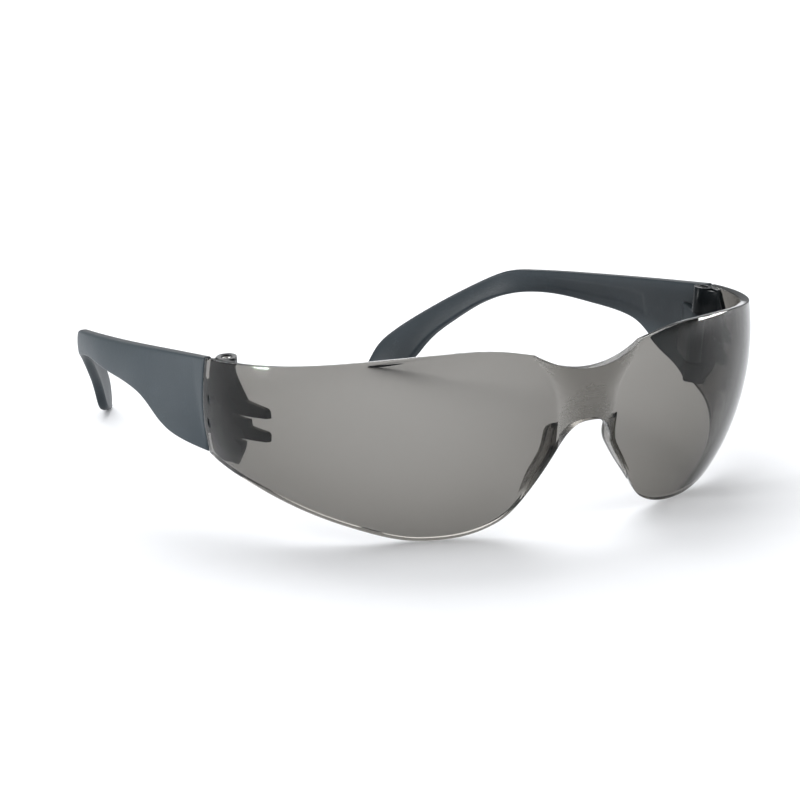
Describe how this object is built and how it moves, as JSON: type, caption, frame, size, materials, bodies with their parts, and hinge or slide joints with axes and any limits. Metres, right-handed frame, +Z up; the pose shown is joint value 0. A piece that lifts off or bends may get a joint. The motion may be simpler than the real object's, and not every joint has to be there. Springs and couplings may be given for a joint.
{
  "type": "safety glasses",
  "caption": "Wrap-around safety glasses: smoke lens with moulded bridge and nose flanges, hinged temples with hooked tips on clip-in hinge blocks.",
  "frame": {"origin": "on the surface the glasses stand on, under the middle of the bounding box", "axes": "+Z up, the lens faces -Y, the temples run towards +Y, +X is the wearer's left; mirror plane X = 0"},
  "size_m": [0.1452, 0.181, 0.0458],
  "materials": {
    "smoke_lens": "polished grey polycarbonate",
    "black_plastic": "moulded black nylon",
    "temple_plastic": "fine satin moulding",
    "screw_steel": "plated steel screw"
  },
  "bodies": {
    "front": {"lens": "smoke_lens", "hinge_block_left": "black_plastic", "hinge_block_right": "black_plastic", "hinge_screw_left": "screw_steel", "hinge_screw_right": "screw_steel"},
    "temple_left": {"temple_left": "temple_plastic"},
    "temple_right": {"temple_right": "temple_plastic"}
  },
  "joints": [
    {"name": "fold_left", "type": "hinge", "parent": "front", "child": "temple_left", "pos_m": [0.0666, -0.0387, 0.041], "axis": [0.0778, -0.0735, 0.9943], "range_deg": [0, 88]},
    {"name": "fold_right", "type": "hinge", "parent": "front", "child": "temple_right", "pos_m": [-0.0666, -0.0387, 0.041], "axis": [0.0778, 0.0735, -0.9943], "range_deg": [0, 75]}
  ]
}
